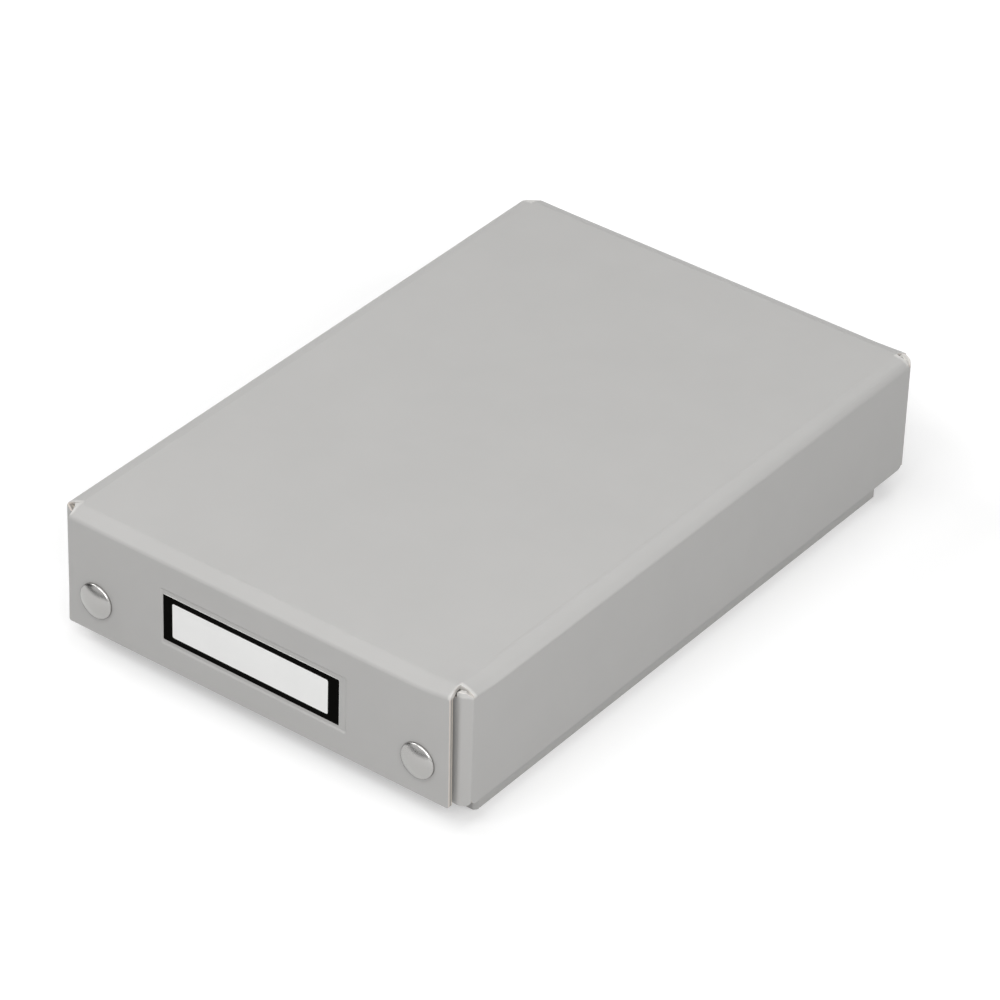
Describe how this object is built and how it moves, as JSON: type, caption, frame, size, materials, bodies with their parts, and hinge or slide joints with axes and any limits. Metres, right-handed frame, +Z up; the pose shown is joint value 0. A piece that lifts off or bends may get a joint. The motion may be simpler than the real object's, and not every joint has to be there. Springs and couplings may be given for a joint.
{
  "type": "desk tray",
  "caption": "Small folded-board desk tray with a lift-off telescoping lid; the lid's end flaps open on scored creases and close with domed snap fasteners, and the front carries a blank label.",
  "frame": {"origin": "under the middle of the lid, on the surface that the tray stands on", "axes": "+X to the right along the labelled front, +Y from front to back along the longest side, +Z up"},
  "size_m": [0.1434, 0.2238, 0.0456],
  "materials": {
    "grey_board": "light warm-grey coated board, matt, with pale cut edges",
    "satin_nickel": "satin nickel plate",
    "spring_steel": "drawn spring wire",
    "label_paper": "matt white label paper with a printed black border"
  },
  "bodies": {
    "tray": {"tray_floor": "grey_board", "tray_left_wall": "grey_board", "tray_right_wall": "grey_board", "tray_front_wall": "grey_board", "tray_back_wall": "grey_board", "tray_front_left_tab": "grey_board", "tray_front_right_tab": "grey_board", "tray_back_left_tab": "grey_board", "tray_back_right_tab": "grey_board", "tray_front_snap_caps": "satin_nickel", "tray_front_snap_sockets": "satin_nickel", "tray_front_snap_springs": "spring_steel", "tray_front_snap_studs": "satin_nickel", "tray_front_snap_posts": "satin_nickel", "tray_back_snap_caps": "satin_nickel", "tray_back_snap_sockets": "satin_nickel", "tray_back_snap_springs": "spring_steel", "tray_back_snap_studs": "satin_nickel", "tray_back_snap_posts": "satin_nickel"},
    "lid": {"lid_top_panel": "grey_board", "lid_left_wall": "grey_board", "lid_right_wall": "grey_board", "lid_front_left_tab": "grey_board", "lid_front_right_tab": "grey_board", "lid_back_left_tab": "grey_board", "lid_back_right_tab": "grey_board", "lid_front_snap_studs": "satin_nickel", "lid_front_snap_posts": "satin_nickel", "lid_back_snap_studs": "satin_nickel", "lid_back_snap_posts": "satin_nickel"},
    "lid_front_flap": {"lid_front_flap": "grey_board", "label": "label_paper", "lid_front_snap_caps": "satin_nickel", "lid_front_snap_sockets": "satin_nickel", "lid_front_snap_springs": "spring_steel"},
    "lid_back_flap": {"lid_back_flap": "grey_board", "lid_back_snap_caps": "satin_nickel", "lid_back_snap_sockets": "satin_nickel", "lid_back_snap_springs": "spring_steel"}
  },
  "joints": [
    {"name": "lid_lift", "type": "slide", "parent": "tray", "child": "lid", "axis": [0, 0, 1], "range_m": [0, 0.12]},
    {"name": "front_flap_crease", "type": "hinge", "parent": "lid", "child": "lid_front_flap", "pos_m": [0, -0.1095, 0.0435], "axis": [-1, 0, 0], "range_deg": [0, 90]},
    {"name": "back_flap_crease", "type": "hinge", "parent": "lid", "child": "lid_back_flap", "pos_m": [0, 0.1095, 0.0435], "axis": [1, 0, 0], "range_deg": [0, 90]}
  ]
}
